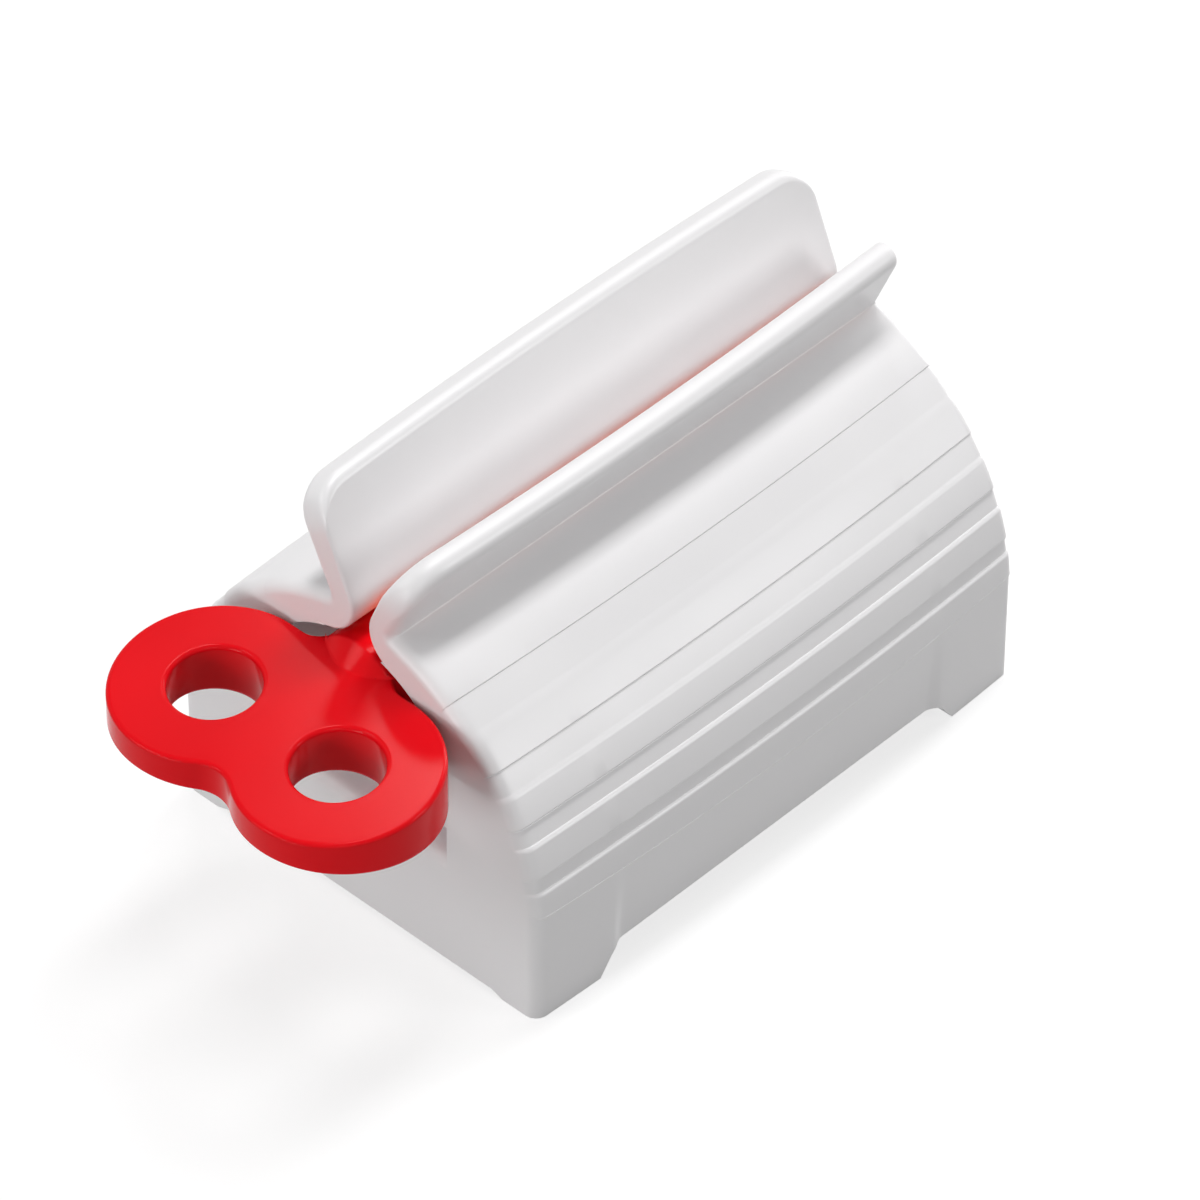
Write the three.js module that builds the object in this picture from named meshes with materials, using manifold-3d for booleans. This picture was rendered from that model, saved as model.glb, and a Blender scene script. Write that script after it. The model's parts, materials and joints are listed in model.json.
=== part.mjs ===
// Toothpaste tube squeezer: a white moulded holder that stands on four feet, and a red one-piece
// winding key whose slotted roller turns in the holder's two end walls.
// Millimetres, +Z up, +X along the roller away from the key's handle, -Y towards the short front lip.
// The origin is on the table, in the middle of the bounding box.
import * as THREE from "three";
import { mergeVertices } from "three/addons/utils/BufferGeometryUtils.js";
import Module from "manifold-3d";

const wasm = await Module();
wasm.setup();

// Holder, overall
const BODY_LENGTH = 68; // along the roller
const HALF_DEPTH = 24; // from the middle plane to the ridged face, at the two ends
const SIDE_BOW = 0.8; // how far the long sides swell outwards halfway along
const WALL = 4; // thickness of the two bent leaves
const VAULT_RADIUS = 27.4; // outer curve of each shoulder
const VAULT_SPRING = 11.6; // height where the shoulder curve starts
const END_ROUND = 1; // rounding of the leaves' end edges

// Throat: the narrow slot between the leaves, over the roller
const THROAT_GAP = 2;
const THROAT_Y = -1.1; // the slot lies a little to the front of the middle plane
const THROAT_ROUND = 4; // rounding on the slot's inner corners
const CREASE_ROUND = 1; // rounding in the outer corner where a leaf turns up

// Front lip and tall rear wall, the turned-up edges of the two leaves
const LIP_LEAN = 22.5; // degrees, towards the front
const LIP_THICKNESS = 3;
const LIP_FACE = 6.7; // straight face above the throat's rounding
const REAR_LEAN = 22.5; // degrees, towards the back
const REAR_THICKNESS = 3.5;
const REAR_FACE = 10.4;
const TALL_CORNER = 4; // corner rounding at the ends of the tall wall's top edge
const LIP_CORNER = 5; // the same on the lip, at the key's end
const LIP_FAR_CORNER = 0.6; // and at its far end

// Grip grooves, as [start, width] along the shoulder curve from its foot
const GROOVES = [
  [4.7, 1.5],
  [10, 2],
  [15.7, 2.5],
  [22.7, 3.4],
];
const GROOVE_DEPTH = 0.5;
const RIDGE_FOOT = 0.9; // the lowest ridge starts here, above the plain lower side
const SIDE_SET_BACK = 0.4; // the plain lower side lies this far behind the ridges

// Feet and the flat panel between them
const FOOT_LENGTH = 8.6;
const FOOT_HEIGHT = 2.7;
const FOOT_SLANT = 1.9;
const FOOT_WIDTH = 4.6; // across each end
const END_LIFT = 0.5; // the end walls stop this far above the table
const END_SLANT = 1.4;
const PANEL_INSET = 2.6; // from a foot's inner end to the flat panel

// End walls
const END_WALL = 3;
const WALL_RISE = 5.2; // the end walls reach this far above the roller's axis
const DOORWAY_HALF = 12; // recess round the roller in the key's end
const DOORWAY_SILL = 14;
const DOORWAY_HEAD = 5.8; // its round head reaches this far above the roller's axis
const BEARING_WALL = 2.5; // the wall at the back of the recess
const BEARING_MARGIN = 2.5;

// Winding key
const ROLLER_RADIUS = 5.5;
const LEAF_CLEARANCE = 0.7; // between the roller and the rounding of either leaf
const BEARING_CLEARANCE = 0.35;
const TIP_SET_BACK = 0.8; // the roller's tip lies inside the far wall's outer face
const TIP_CHAMFER = 0.8;
const SLOT_WIDTH = 2; // slot for the tube's flat end
const SLOT_END = 1.5; // solid length kept at each end of the slot, inside the end walls
const HANDLE_GAP = 0.4; // between the handle and the holder's end
const LOBE_RADIUS = 10.3;
const LOBE_OFFSET = 8.15; // from the axis to each lobe's centre
const HOLE_RADIUS = 4.6;
const WAIST_ROUND = 4;
const ROOT_THICKNESS = 7; // of the tapering handle, at the holder's end
const RIM_THICKNESS = 3.4; // and at its outer end
const SHOULDER_LENGTH = 1.65; // the roller's conical end, where it meets the handle
const SHOULDER_RADIUS = 2.5;

// Derived sizes
const KEY_REACH = HANDLE_GAP + 2 * LOBE_RADIUS;
const NEAR_X = (KEY_REACH - BODY_LENGTH) / 2;
const FAR_X = NEAR_X + BODY_LENGTH;
const BEARING_RADIUS = ROLLER_RADIUS + BEARING_CLEARANCE;
const VAULT_CENTRE = VAULT_RADIUS - HALF_DEPTH; // beyond the middle plane, seen from each side
const INNER_RADIUS = VAULT_RADIUS - WALL;
const FRONT_THROAT = THROAT_GAP / 2 - THROAT_Y; // from the middle plane to the front leaf
const REAR_THROAT = THROAT_GAP / 2 + THROAT_Y; // and to the rear leaf
const LOBE_X = NEAR_X - HANDLE_GAP - LOBE_RADIUS;
const LIP_TOP_ROUND = LIP_THICKNESS / 2; // the lip's top edge is fully round
const REAR_TOP_ROUND = REAR_THICKNESS / 3;
const LIP_NEAR_CORNER = Math.min(LIP_CORNER, LIP_FACE - 1.5 * CREASE_ROUND); // it ends above the crease
const WIDEST_CORNER = Math.max(TALL_CORNER, LIP_NEAR_CORNER, LIP_FAR_CORNER);
const PANEL_FACE = HALF_DEPTH - SIDE_SET_BACK;
const PANEL_TOP = VAULT_SPRING + RIDGE_FOOT;

// Centre of the rounding at a leaf's throat. u runs outwards from the middle plane.
function throatBend(throat) {
  const u = throat + THROAT_ROUND;
  const z = VAULT_SPRING + Math.sqrt((INNER_RADIUS + THROAT_ROUND) ** 2 - (u + VAULT_CENTRE) ** 2);
  return { u, z };
}

// The roller's axis hangs the same clearance below both leaves.
function rollerAxis() {
  const front = throatBend(FRONT_THROAT);
  const rear = throatBend(REAR_THROAT);
  const across = rear.u + front.u;
  const rise = rear.z - front.z;
  const apart = Math.hypot(across, rise);
  const drop = Math.sqrt((THROAT_ROUND + LEAF_CLEARANCE + ROLLER_RADIUS) ** 2 - (apart / 2) ** 2);
  return {
    y: (rear.u - front.u) / 2 + (drop * rise) / apart,
    z: (rear.z + front.z) / 2 - (drop * across) / apart,
  };
}

const { y: AXIS_Y, z: AXIS_HEIGHT } = rollerAxis();
const WALL_TOP = AXIS_HEIGHT + WALL_RISE;

// Ways of drawing
const CUT = 1; // how far cutting blocks run past the faces they cut
const SIDES = 48; // facets of a full circle
const HANDLE_SEGMENTS = 28; // facets of each curve in the handle's outline
const WALL_SEGMENTS = 10; // facets of the curved edge of an end wall
const PLAIN_STEPS = 5; // cross-sections from a rounded end to the middle

// A closed mesh as a manifold solid, and back.
function solid(geometry) {
  const bare = geometry.clone();
  bare.deleteAttribute("normal");
  bare.deleteAttribute("uv");
  const merged = mergeVertices(bare, 1e-4);
  return new wasm.Manifold(
    new wasm.Mesh({
      numProp: 3,
      vertProperties: merged.attributes.position.array,
      triVerts: new Uint32Array(merged.index.array),
    }),
  );
}

function geometryOf(made) {
  const mesh = made.getMesh();
  const geometry = new THREE.BufferGeometry();
  geometry.setAttribute("position", new THREE.BufferAttribute(mesh.vertProperties, 3));
  geometry.setIndex(new THREE.BufferAttribute(mesh.triVerts, 1));
  const faceted = geometry.toNonIndexed();
  faceted.computeVertexNormals();
  return faceted;
}

function block(x0, x1, y0, y1, z0, z1) {
  const box = new THREE.BoxGeometry(x1 - x0, y1 - y0, z1 - z0);
  box.translate((x0 + x1) / 2, (y0 + y1) / 2, (z0 + z1) / 2);
  return solid(box);
}

// An outline drawn in the Y-Z plane, run along X from x0 to x1.
function alongX(outline, x0, x1) {
  const run = new THREE.ExtrudeGeometry(new THREE.Shape(outline), { depth: x1 - x0, bevelEnabled: false });
  const turn = new THREE.Matrix4().set(0, 0, 1, x0, 1, 0, 0, 0, 0, 1, 0, 0, 0, 0, 0, 1);
  run.applyMatrix4(turn);
  return solid(run);
}

// An outline drawn in the X-Z plane, run along Y from -half to half.
function alongY(outline, half) {
  const run = new THREE.ExtrudeGeometry(new THREE.Shape(outline), { depth: 2 * half, bevelEnabled: false });
  run.rotateX(Math.PI / 2);
  run.translate(0, half, 0);
  return solid(run);
}

// A turned piece on the roller's axis from [x, radius] pairs.
function turned(profile) {
  const points = profile.map(([x, r]) => new THREE.Vector2(r, x));
  const lathe = new THREE.LatheGeometry(points, SIDES);
  lathe.rotateZ(-Math.PI / 2);
  lathe.translate(0, AXIS_Y, AXIS_HEIGHT);
  return solid(lathe);
}

// One leaf of the holder, as an outline of { u, z, nu, nz, top }. u runs outwards from the middle
// plane, (nu, nz) is the surface's outward direction there, and top is 1 along the leaf's top edge.
// throat is where the leaf comes nearest the middle plane, and it leans outwards above that.
function leafOutline({ throat, lean, thickness, faceLength, topRound }) {
  const points = [];
  const add = (u, z, nu, nz, top = 0) => points.push({ u, z, nu, nz, top });
  const slope = THREE.MathUtils.degToRad(lean);
  const along = { u: Math.sin(slope), z: Math.cos(slope) };
  const outwards = { u: Math.cos(slope), z: -Math.sin(slope) };
  const centre = { u: -VAULT_CENTRE, z: VAULT_SPRING };
  const arc = (c, radius, from, to, count, side = 1, top = 0) => {
    for (let i = 0; i <= count; i++) {
      const a = from + ((to - from) * i) / count;
      const nu = Math.cos(a);
      const nz = Math.sin(a);
      add(c.u + radius * nu, c.z + radius * nz, side * nu, side * nz, top);
    }
  };

  // Throat rounding, tangent to the vault's inner curve and to the leaning face
  const bend = throatBend(throat);
  const faceStart = { u: bend.u - THROAT_ROUND * outwards.u, z: bend.z - THROAT_ROUND * outwards.z };

  // Crease rounding, tangent to the vault's outer curve and to the leaf's outer face
  const backStart = { u: faceStart.u + thickness * outwards.u, z: faceStart.z + thickness * outwards.z };
  const first = { u: backStart.u + CREASE_ROUND * outwards.u, z: backStart.z + CREASE_ROUND * outwards.z };
  const du = first.u - centre.u;
  const dz = first.z - centre.z;
  const half = du * along.u + dz * along.z;
  const rest = du * du + dz * dz - (VAULT_RADIUS + CREASE_ROUND) ** 2;
  const reach = -half + Math.sqrt(half * half - rest);
  const crease = { u: first.u + reach * along.u, z: first.z + reach * along.z };
  const creaseAngle = Math.atan2(crease.z - centre.z, crease.u - centre.u);

  // Outer side, from the foot up
  add(PANEL_FACE, 0, 1, 0);
  add(PANEL_FACE, PANEL_TOP, 1, 0);
  let from = RIDGE_FOOT / VAULT_RADIUS;
  for (const [start, width] of GROOVES) {
    const low = start / VAULT_RADIUS;
    const high = (start + width) / VAULT_RADIUS;
    arc(centre, VAULT_RADIUS, from, low, 3);
    arc(centre, VAULT_RADIUS - GROOVE_DEPTH, low, high, 2);
    from = high;
  }
  arc(centre, VAULT_RADIUS, from, creaseAngle, 4);
  arc(crease, CREASE_ROUND, creaseAngle + Math.PI, Math.PI - slope, 4, -1);

  // Turned-up edge: outer face, rounded top, throat face
  const height = faceLength - topRound;
  const middle = (side) => ({
    u: faceStart.u + height * along.u + side * outwards.u,
    z: faceStart.z + height * along.z + side * outwards.z,
  });
  arc(middle(thickness - topRound), topRound, -slope, Math.PI / 2 - slope, 4, 1, 1);
  arc(middle(topRound), topRound, Math.PI / 2 - slope, Math.PI - slope, 4, 1, 1);

  // Throat rounding, inner curve and inner side
  const bendEnd = Math.atan2(bend.z - centre.z, bend.u - centre.u) + Math.PI;
  arc(bend, THROAT_ROUND, Math.PI - slope, bendEnd, 6);
  arc(centre, INNER_RADIUS, bendEnd - Math.PI, 0, 8, -1);
  add(HALF_DEPTH - WALL, 0, -1, 0);

  const unlike = (p, q) => Math.hypot(p.u - q.u, p.z - q.z) > 1e-3;
  const outline = points.filter((p, i) => i === 0 || unlike(p, points[i - 1]));
  return { outline, along };
}

// Cross-sections along the holder: close together at the rounded ends, even in between.
const STATIONS = [];
for (const d of [0, 0.08, 0.3, 0.62, 1]) STATIONS.push(d * END_ROUND);
for (const d of [0.25, 0.5, 0.75, 1]) STATIONS.push(END_ROUND + d * (WIDEST_CORNER - END_ROUND));
const FIRST_PLAIN = STATIONS[STATIONS.length - 1];
const MIDDLE = BODY_LENGTH / 2;
for (let i = 1; i <= PLAIN_STEPS; i++) {
  STATIONS.push(FIRST_PLAIN + ((MIDDLE - FIRST_PLAIN) * i) / PLAIN_STEPS);
}
for (let i = STATIONS.length - 2; i >= 0; i--) STATIONS.push(BODY_LENGTH - STATIONS[i]);

// How much a quarter-round of the given radius takes away at a distance from its end.
function roundOff(distance, radius) {
  if (distance >= radius) return 0;
  return radius - Math.sqrt(radius * radius - (radius - distance) ** 2);
}

// A leaf as a closed skin through its outline at every station. side is -1 at the front.
// topDrop(x) is how far its top edge lies below the outline, x from the key's end.
function leaf(side, shape, topDrop) {
  const { outline, along } = leafOutline(shape);
  const rings = STATIONS.map((x) => {
    const end = Math.min(x, BODY_LENGTH - x);
    const inset = roundOff(end, END_ROUND);
    const swell = SIDE_BOW * (1 - ((x - MIDDLE) / MIDDLE) ** 2);
    const drop = topDrop(x);
    return outline.map((p) => {
      const share = Math.max(p.top, THREE.MathUtils.smoothstep(p.u, THROAT_ROUND, HALF_DEPTH / 2));
      const u = p.u - inset * p.nu + swell * share - drop * p.top * along.u;
      const z = p.z - inset * p.nz - drop * p.top * along.z;
      return [NEAR_X + x, side * u, z];
    });
  });
  if (side < 0) rings.forEach((ring) => ring.reverse());
  const count = outline.length;
  const index = [];
  for (let k = 0; k + 1 < rings.length; k++) {
    for (let i = 0; i < count; i++) {
      const a = k * count + i;
      const b = k * count + ((i + 1) % count);
      index.push(a, b, a + count, b, b + count, a + count);
    }
  }
  const flat = (ring) => ring.map(([, y, z]) => new THREE.Vector2(y, z));
  const last = (rings.length - 1) * count;
  for (const [a, b, c] of THREE.ShapeUtils.triangulateShape(flat(rings[0]), [])) index.push(a, c, b);
  for (const [a, b, c] of THREE.ShapeUtils.triangulateShape(flat(rings.at(-1)), [])) {
    index.push(last + a, last + b, last + c);
  }
  const geometry = new THREE.BufferGeometry();
  geometry.setAttribute("position", new THREE.Float32BufferAttribute(rings.flat(2), 3));
  geometry.setIndex(index);
  return solid(geometry);
}

// The region under the vault, out to the middle of the leaves' thickness.
function underVault(halfWidth, bottom) {
  const middle = VAULT_RADIUS - WALL / 2;
  const edge = Math.min(halfWidth, middle - VAULT_CENTRE);
  const right = [new THREE.Vector2(edge, bottom)];
  const start = Math.acos((edge + VAULT_CENTRE) / middle);
  const end = Math.asin((WALL_TOP - VAULT_SPRING) / middle);
  for (let i = 0; i <= WALL_SEGMENTS; i++) {
    const a = start + ((end - start) * i) / WALL_SEGMENTS;
    right.push(new THREE.Vector2(middle * Math.cos(a) - VAULT_CENTRE, VAULT_SPRING + middle * Math.sin(a)));
  }
  const left = right.map((p) => new THREE.Vector2(-p.x, p.y)).reverse();
  return [...right, ...left];
}

// The recess seen from the key's end: upright sides and a round head.
function doorwayOutline() {
  const spring = AXIS_HEIGHT + DOORWAY_HEAD - DOORWAY_HALF;
  const points = [new THREE.Vector2(-DOORWAY_HALF, DOORWAY_SILL), new THREE.Vector2(DOORWAY_HALF, DOORWAY_SILL)];
  for (let i = 0; i <= 2 * WALL_SEGMENTS; i++) {
    const a = (Math.PI * i) / (2 * WALL_SEGMENTS);
    points.push(new THREE.Vector2(DOORWAY_HALF * Math.cos(a), spring + DOORWAY_HALF * Math.sin(a)));
  }
  return points;
}

function makeHolder() {
  const lip = {
    throat: FRONT_THROAT,
    lean: LIP_LEAN,
    thickness: LIP_THICKNESS,
    faceLength: LIP_FACE + LIP_TOP_ROUND,
    topRound: LIP_TOP_ROUND,
  };
  const tall = {
    throat: REAR_THROAT,
    lean: REAR_LEAN,
    thickness: REAR_THICKNESS,
    faceLength: REAR_FACE + REAR_TOP_ROUND,
    topRound: REAR_TOP_ROUND,
  };
  const corners = (x, near, far) => roundOff(x, near) + roundOff(BODY_LENGTH - x, far);
  const frontLeaf = leaf(-1, lip, (x) => corners(x, LIP_NEAR_CORNER, LIP_FAR_CORNER));
  const rearLeaf = leaf(1, tall, (x) => corners(x, TALL_CORNER, TALL_CORNER));
  let holder = frontLeaf.add(rearLeaf);

  // End walls: the key's end is recessed round the roller, the far end is plain
  const recessBack = NEAR_X + END_WALL;
  const doorway = alongX(doorwayOutline(), NEAR_X - CUT, recessBack + CUT);
  const nearWall = alongX(underVault(HALF_DEPTH, 0), NEAR_X, recessBack).subtract(doorway);
  const bearingOutline = underVault(DOORWAY_HALF + BEARING_MARGIN, DOORWAY_SILL - BEARING_MARGIN);
  const bearingWall = alongX(bearingOutline, recessBack, recessBack + BEARING_WALL);
  const farWall = alongX(underVault(HALF_DEPTH, 0), FAR_X - END_WALL, FAR_X);
  const bore = turned([
    [NEAR_X - CUT, 0],
    [NEAR_X - CUT, BEARING_RADIUS],
    [FAR_X + CUT, BEARING_RADIUS],
    [FAR_X + CUT, 0],
  ]);
  const walls = nearWall.add(bearingWall).add(farWall).subtract(bore);
  holder = holder.add(walls);

  // Feet: the long sides and the end walls are lifted off the table between the corners
  const outer = HALF_DEPTH + SIDE_BOW + CUT;
  const footRun = (CUT * FOOT_SLANT) / FOOT_HEIGHT;
  const gapStart = NEAR_X + FOOT_LENGTH;
  const gapStop = FAR_X - FOOT_LENGTH;
  const sideGap = [
    new THREE.Vector2(gapStart - footRun, -CUT),
    new THREE.Vector2(gapStop + footRun, -CUT),
    new THREE.Vector2(gapStop - FOOT_SLANT, FOOT_HEIGHT),
    new THREE.Vector2(gapStart + FOOT_SLANT, FOOT_HEIGHT),
  ];
  holder = holder.subtract(alongY(sideGap, outer));
  const endHalf = HALF_DEPTH - FOOT_WIDTH;
  const endRun = (CUT * END_SLANT) / END_LIFT;
  const endGap = [
    new THREE.Vector2(-endHalf - endRun, -CUT),
    new THREE.Vector2(endHalf + endRun, -CUT),
    new THREE.Vector2(endHalf - END_SLANT, END_LIFT),
    new THREE.Vector2(-endHalf + END_SLANT, END_LIFT),
  ];
  holder = holder.subtract(alongX(endGap, NEAR_X - CUT, FAR_X + CUT));

  // Flat panels between the feet, where the swelling side is planed off below the ridges
  const panelStart = FOOT_LENGTH + PANEL_INSET;
  for (const side of [-1, 1]) {
    const y0 = Math.min(side * PANEL_FACE, side * outer);
    const y1 = Math.max(side * PANEL_FACE, side * outer);
    holder = holder.subtract(block(NEAR_X + panelStart, FAR_X - panelStart, y0, y1, -CUT, PANEL_TOP));
  }
  return geometryOf(holder);
}

// The handle seen from above: two lobes joined by a straight edge next to the holder, with a
// rounded waist on the outer side.
function handleOutline() {
  const shape = new THREE.Shape();
  const spread = Math.sqrt((LOBE_RADIUS + WAIST_ROUND) ** 2 - LOBE_OFFSET ** 2);
  const waistX = LOBE_X - spread;
  const meet = Math.atan2(LOBE_OFFSET, spread);
  shape.moveTo(LOBE_X + LOBE_RADIUS, AXIS_Y - LOBE_OFFSET);
  shape.lineTo(LOBE_X + LOBE_RADIUS, AXIS_Y + LOBE_OFFSET);
  shape.absarc(LOBE_X, AXIS_Y + LOBE_OFFSET, LOBE_RADIUS, 0, Math.PI + meet, false);
  shape.absarc(waistX, AXIS_Y, WAIST_ROUND, meet, -meet, true);
  shape.absarc(LOBE_X, AXIS_Y - LOBE_OFFSET, LOBE_RADIUS, Math.PI - meet, 2 * Math.PI, false);
  for (const side of [-1, 1]) {
    const hole = new THREE.Path();
    hole.absarc(LOBE_X, AXIS_Y + side * LOBE_OFFSET, HOLE_RADIUS, 0, 2 * Math.PI, true);
    shape.holes.push(hole);
  }
  return shape;
}

function makeKey() {
  // Handle: the outline cut from a wedge that thins towards its outer end
  const plate = new THREE.ExtrudeGeometry(handleOutline(), {
    depth: ROOT_THICKNESS + 2 * CUT,
    bevelEnabled: false,
    curveSegments: HANDLE_SEGMENTS,
  });
  plate.translate(0, 0, AXIS_HEIGHT - ROOT_THICKNESS / 2 - CUT);
  const outer = NEAR_X - KEY_REACH - CUT;
  const wedge = [
    new THREE.Vector2(outer, AXIS_HEIGHT - RIM_THICKNESS / 2),
    new THREE.Vector2(NEAR_X, AXIS_HEIGHT - ROOT_THICKNESS / 2),
    new THREE.Vector2(NEAR_X, AXIS_HEIGHT + ROOT_THICKNESS / 2),
    new THREE.Vector2(outer, AXIS_HEIGHT + RIM_THICKNESS / 2),
  ];
  const handle = solid(plate).intersect(alongY(wedge, LOBE_OFFSET + LOBE_RADIUS + CUT));

  // Roller with a conical end at the handle and a chamfered tip in the far wall
  const shoulder = NEAR_X - HANDLE_GAP;
  const tip = FAR_X - TIP_SET_BACK;
  const roller = turned([
    [shoulder - SHOULDER_LENGTH, 0],
    [shoulder - SHOULDER_LENGTH, SHOULDER_RADIUS],
    [shoulder + SHOULDER_LENGTH / 2, ROLLER_RADIUS],
    [tip - TIP_CHAMFER, ROLLER_RADIUS],
    [tip, ROLLER_RADIUS - TIP_CHAMFER],
    [tip, 0],
  ]);
  const slotStart = NEAR_X + END_WALL + BEARING_WALL + SLOT_END;
  const slotStop = FAR_X - END_WALL - SLOT_END;
  const above = AXIS_HEIGHT + ROLLER_RADIUS + CUT;
  const below = AXIS_HEIGHT - ROLLER_RADIUS - CUT;
  const slot = block(slotStart, slotStop, AXIS_Y - SLOT_WIDTH / 2, AXIS_Y + SLOT_WIDTH / 2, below, above);
  return geometryOf(handle.add(roller).subtract(slot));
}

function piece(name, geometry, color, roughness) {
  const material = new THREE.MeshStandardMaterial({ color, roughness, metalness: 0 });
  const mesh = new THREE.Mesh(geometry, material);
  mesh.name = name;
  return mesh;
}

const squeezer = new THREE.Group();
squeezer.add(piece("holder", makeHolder(), 0xefeded, 0.32));
squeezer.add(piece("winding_key", makeKey(), 0xe31420, 0.3));

export default squeezer;
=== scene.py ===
# %% [markdown]
# # A tube squeezer with a winding key
# The real object is two mouldings. The white holder bends two thick leaves of plastic towards each
# other, with a narrow throat between their turned-up edges and a wall under each end. The red key is a
# slotted roller with a flat handle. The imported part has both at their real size. This lesson models
# each again with soft edges, gives both a moulded finish, and lights them as a shop photograph is lit.

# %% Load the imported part
import json
import math
from collections import namedtuple

import bpy
from mathutils import Matrix, Vector


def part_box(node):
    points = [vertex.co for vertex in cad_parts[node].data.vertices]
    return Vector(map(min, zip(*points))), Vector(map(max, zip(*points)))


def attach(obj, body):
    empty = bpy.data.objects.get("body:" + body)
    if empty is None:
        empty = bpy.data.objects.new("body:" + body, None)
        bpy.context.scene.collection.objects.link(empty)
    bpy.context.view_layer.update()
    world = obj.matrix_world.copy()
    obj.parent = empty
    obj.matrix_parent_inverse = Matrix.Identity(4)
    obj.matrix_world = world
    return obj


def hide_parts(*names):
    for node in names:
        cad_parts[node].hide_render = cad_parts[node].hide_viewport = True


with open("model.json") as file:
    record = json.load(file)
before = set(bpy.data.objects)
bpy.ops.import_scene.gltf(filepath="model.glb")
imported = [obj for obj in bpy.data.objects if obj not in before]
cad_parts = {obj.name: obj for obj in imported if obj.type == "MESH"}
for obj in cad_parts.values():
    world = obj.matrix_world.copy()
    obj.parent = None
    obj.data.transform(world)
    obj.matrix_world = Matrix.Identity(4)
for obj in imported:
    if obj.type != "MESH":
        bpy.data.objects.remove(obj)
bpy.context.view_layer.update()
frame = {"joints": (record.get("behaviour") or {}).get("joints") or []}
MM = 0.001
holder_low, holder_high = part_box("holder")
key_low, key_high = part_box("winding_key")
print("holder, mm:", [round((b - a) / MM, 2) for a, b in zip(holder_low, holder_high)])
print("key, mm:", [round((b - a) / MM, 2) for a, b in zip(key_low, key_high)])

# %% [markdown]
# ## Measures
# A moulding is drawn in millimetres, so the sizes here are too, and each point is scaled to metres
# when it is placed. The length, the ends and the roller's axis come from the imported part. The other
# sizes describe the bent section of a leaf and the key's outline.

# %% Sizes of the holder, in millimetres
NEAR_X = holder_low.x / MM
FAR_X = holder_high.x / MM
LENGTH = FAR_X - NEAR_X
MIDDLE = LENGTH / 2
HALF_DEPTH = 24.0
SIDE_BOW = 0.8
WALL = 4.0
VAULT_RADIUS = 27.4
VAULT_SPRING = 11.6
INNER_RADIUS = VAULT_RADIUS - WALL
VAULT_CENTRE = VAULT_RADIUS - HALF_DEPTH
END_ROUND = 1.4
END_EDGE = 0.4
FAR_EDGE = 0.6
THROAT_ROUND = 4.0
CREASE_ROUND = 0.15
END_WALL = 3.0
turn = frame["joints"][0]
AXIS_Y = turn["pos_m"][1] / MM
AXIS_Z = turn["pos_m"][2] / MM
print("holder runs from", round(NEAR_X, 2), "to", round(FAR_X, 2))
print("axis at", AXIS_Y, AXIS_Z)

# %% Small helpers for working as by hand
def only(piece):
    """Select one object alone and make it the active one."""
    bpy.ops.object.select_all(action="DESELECT")
    piece.select_set(True)
    bpy.context.view_layer.objects.active = piece
    return piece


def added(name):
    """Name the primitive that was just added, and keep it alone in the selection."""
    piece = bpy.context.active_object
    piece.name = name
    piece.data.name = name
    return only(piece)


def settle(piece):
    """Move the object's place, turn and size into its mesh."""
    only(piece)
    bpy.ops.object.transform_apply(location=True, rotation=True, scale=True)
    return piece


def edit(piece, *steps):
    """Run edit-mode steps with the whole mesh selected at the start."""
    only(piece)
    bpy.ops.object.mode_set(mode="EDIT")
    bpy.ops.mesh.select_all(action="SELECT")
    for step in steps:
        step()
    bpy.ops.object.mode_set(mode="OBJECT")
    return piece


def select_where(piece, test, kind="VERT"):
    """Select the vertices, edges or faces whose middle passes a test, in millimetres."""
    only(piece)
    bpy.ops.object.mode_set(mode="EDIT")
    bpy.ops.mesh.select_mode(type=kind)
    bpy.ops.mesh.select_all(action="DESELECT")
    bpy.ops.object.mode_set(mode="OBJECT")
    points = [v.co / MM for v in piece.data.vertices]
    parts = {"VERT": piece.data.vertices, "EDGE": piece.data.edges, "FACE": piece.data.polygons}[kind]
    for part in parts:
        corners = [part.index] if kind == "VERT" else part.vertices
        middle = sum((points[i] for i in corners), Vector()) / len(corners)
        part.select = test(middle)
    bpy.ops.object.mode_set(mode="EDIT")


def combine(piece, other, operation):
    """Join another solid to a piece, or cut it away, and remove the other."""
    only(piece)
    step = piece.modifiers.new("combine", "BOOLEAN")
    step.operation = operation
    step.object = other
    step.solver = "EXACT"
    bpy.ops.object.modifier_apply(modifier=step.name)
    bpy.data.objects.remove(other, do_unlink=True)
    return piece


MERGE = 1e-4 * MM


def faces_out():
    bpy.ops.mesh.remove_doubles(threshold=MERGE)
    bpy.ops.mesh.normals_make_consistent(inside=False)


# %% [markdown]
# ## The section of a leaf
# Each leaf is the same bent strip: a straight foot, a ridged shoulder, a tight crease, and an edge that
# turns up and leans outwards. It could be modelled as a flat bar and bent, but the ridges have to follow
# the curve. So the section is drawn first, as arcs with tangent joins, and every point keeps the
# direction that its surface faces. The end of a leaf is rounded by moving its points back along that,
# by much on the outer side and by a hair on the inner one.

# %% Arcs of the section
Point = namedtuple("Point", "out up face_out face_up edge top panel rise", defaults=(END_ROUND, 0, 0, 0))


def arc(centre, radius, start, stop, count, side=1, edge=(END_EDGE, END_EDGE), top=0):
    points = []
    for step in range(count + 1):
        angle = start + (stop - start) * step / count
        face = Vector((math.cos(angle), math.sin(angle)))
        place = Vector(centre) + radius * face
        softness = edge[0] + (edge[1] - edge[0]) * step / count
        points.append(Point(place.x, place.y, side * face.x, side * face.y, softness, top))
    return points


# %% [markdown]
# The ridges are low steps, lower still towards the top. A ridge's upper edge rolls over softly and
# catches the light from above. Its lower edge is sharper and shows as a thin dark line. Both are laid
# out along the shoulder's curve. The side under the lowest ridge is set back a little.

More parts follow.
